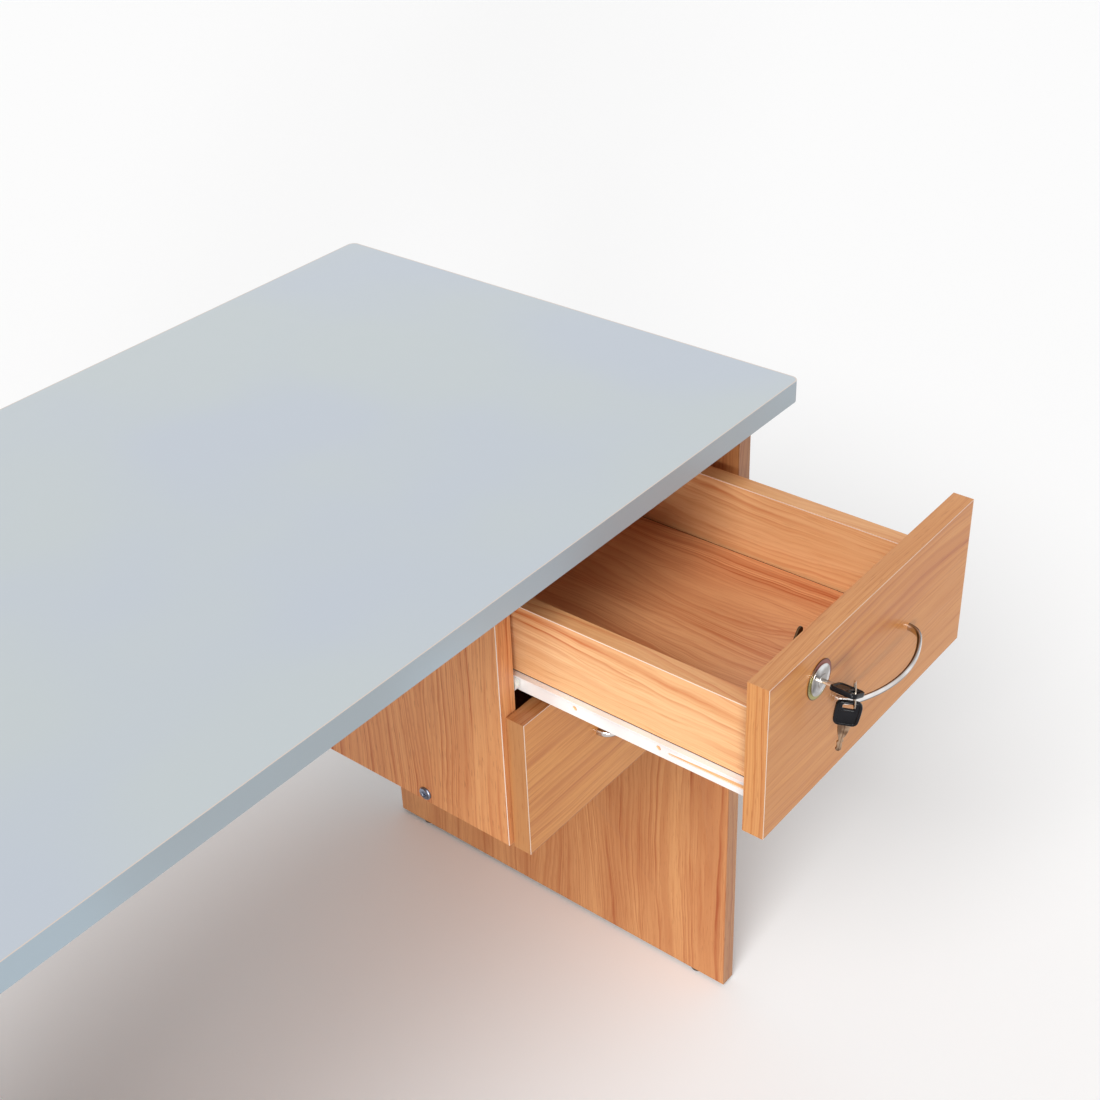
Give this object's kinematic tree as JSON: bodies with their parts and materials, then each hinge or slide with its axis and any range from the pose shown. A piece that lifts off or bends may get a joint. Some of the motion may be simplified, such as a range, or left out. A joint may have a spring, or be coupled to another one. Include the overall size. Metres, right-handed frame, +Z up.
{
  "type": "study table",
  "caption": "Study table with a grey laminate worktop on two leg panels and a hung pedestal of lockable upper and plain lower drawers on roller slides.",
  "frame": {"origin": "on the floor under the middle of the whole table's box, with the upper drawer open as stored", "axes": "+X to the sitter's right along the worktop, +Y from the sitter to the back, +Z up"},
  "size_m": [1.2, 0.7912, 0.75],
  "materials": {
    "grey_laminate": "satin decorative laminate, pale blue grey",
    "grey_edging": "satin edging, a little darker than the top",
    "beech_board": "beech decor laminate, satin",
    "beech_edging": "beech decor edging with pale arris",
    "white_rail": "white powder coat",
    "roller_nylon": "natural nylon",
    "screw_steel": "zinc plated",
    "cam_zinc": "die-cast zinc",
    "dowel_wood": "raw beech",
    "glide_plastic": "black moulded plastic",
    "chrome": "polished chrome plate",
    "yellow_zinc": "yellow passivated zinc",
    "key_nickel": "nickel plate",
    "key_plastic": "glossy black moulded plastic"
  },
  "bodies": {
    "lock_plug": {"lock_plug": "chrome", "lock_cam": "screw_steel", "cam_screw": "screw_steel", "lock_key_head": "key_plastic", "lock_key_blade": "key_nickel"},
    "key_ring": {"key_ring": "key_nickel"},
    "spare_key": {"spare_key_head": "key_plastic", "spare_key_blade": "key_nickel"},
    "upper_front_rollers": {"upper_front_rollers": "roller_nylon"},
    "lower_front_rollers": {"lower_front_rollers": "roller_nylon"},
    "upper_rear_rollers": {"upper_rear_rollers": "roller_nylon"},
    "lower_rear_rollers": {"lower_rear_rollers": "roller_nylon"},
    "upper_drawer": {"lock_body": "chrome", "lock_nut": "screw_steel", "lock_ring": "yellow_zinc", "upper_box_dowels": "dowel_wood", "upper_box_screws": "screw_steel", "upper_drawer_back": "beech_board", "upper_drawer_floor": "beech_board", "upper_drawer_front": "beech_board", "upper_drawer_left_side": "beech_board", "upper_drawer_rail_left": "white_rail", "upper_drawer_rail_right": "white_rail", "upper_drawer_rail_screws": "screw_steel", "upper_drawer_right_side": "beech_board", "upper_front_edge_band": "beech_edging", "upper_handle": "chrome", "upper_handle_screws": "screw_steel"},
    "lower_drawer": {"lower_box_dowels": "dowel_wood", "lower_box_screws": "screw_steel", "lower_drawer_back": "beech_board", "lower_drawer_floor": "beech_board", "lower_drawer_front": "beech_board", "lower_drawer_left_side": "beech_board", "lower_drawer_rail_left": "white_rail", "lower_drawer_rail_right": "white_rail", "lower_drawer_rail_screws": "screw_steel", "lower_drawer_right_side": "beech_board", "lower_front_edge_band": "beech_edging", "lower_handle": "chrome", "lower_handle_screws": "screw_steel"},
    "table": {"cam_bolts": "screw_steel", "cam_discs": "cam_zinc", "carcass_edge_bands": "beech_edging", "carcass_screws": "screw_steel", "left_leg_panel": "beech_board", "leg_glides": "glide_plastic", "lock_strike": "screw_steel", "lower_cabinet_rail_left": "white_rail", "lower_cabinet_rail_right": "white_rail", "modesty_panel": "beech_board", "panel_dowels": "dowel_wood", "pedestal_bottom": "beech_board", "pedestal_connector_bolts": "screw_steel", "pedestal_side": "beech_board", "right_leg_panel": "beech_board", "tabletop": "grey_laminate", "tabletop_edge_band": "grey_edging", "upper_cabinet_rail_left": "white_rail", "upper_cabinet_rail_right": "white_rail"}
  },
  "joints": [
    {"name": "upper_drawer_slide", "type": "slide", "parent": "table", "child": "upper_drawer", "axis": [0, -1, 0], "range_m": [-0.228, 0.072]},
    {"name": "lower_drawer_slide", "type": "slide", "parent": "table", "child": "lower_drawer", "axis": [0, -1, 0], "range_m": [0, 0.3]},
    {"name": "lock_turn", "type": "hinge", "parent": "upper_drawer", "child": "lock_plug", "pos_m": [0.3005, -0.3614, 0.693], "axis": [0, 1, 0], "range_deg": [-25, 65]},
    {"name": "key_ring_swing", "type": "hinge", "parent": "lock_plug", "child": "key_ring", "pos_m": [0.3005, -0.3918, 0.693], "axis": [0.5299, -0.848, 0], "range_deg": [-10, 8]},
    {"name": "spare_key_swing", "type": "hinge", "parent": "key_ring", "child": "spare_key", "pos_m": [0.30709, -0.38768, 0.67671], "axis": [0.848, 0.5299, 0], "range_deg": [-25, 16]},
    {"name": "upper_front_rollers_turn", "type": "hinge", "parent": "table", "child": "upper_front_rollers", "pos_m": [0.393, -0.1044, 0.6024], "axis": [1, 0, 0], "range_deg": [-1770, 560]},
    {"name": "upper_rear_rollers_turn", "type": "hinge", "parent": "upper_drawer", "child": "upper_rear_rollers", "pos_m": [0.393, 0.0491, 0.6024], "axis": [1, 0, 0], "range_deg": [-1770, 560]},
    {"name": "lower_front_rollers_turn", "type": "hinge", "parent": "table", "child": "lower_front_rollers", "pos_m": [0.393, -0.1044, 0.4754], "axis": [1, 0, 0], "range_deg": [-5, 2330]},
    {"name": "lower_rear_rollers_turn", "type": "hinge", "parent": "lower_drawer", "child": "lower_rear_rollers", "pos_m": [0.393, 0.2771, 0.4754], "axis": [1, 0, 0], "range_deg": [-5, 2330]}
  ],
  "couplings": [
    {"joint": "upper_front_rollers_turn", "follows": "upper_drawer_slide", "rad_per_m": 135.14},
    {"joint": "upper_rear_rollers_turn", "follows": "upper_drawer_slide", "rad_per_m": 135.14},
    {"joint": "lower_front_rollers_turn", "follows": "lower_drawer_slide", "rad_per_m": 135.14},
    {"joint": "lower_rear_rollers_turn", "follows": "lower_drawer_slide", "rad_per_m": 135.14}
  ]
}
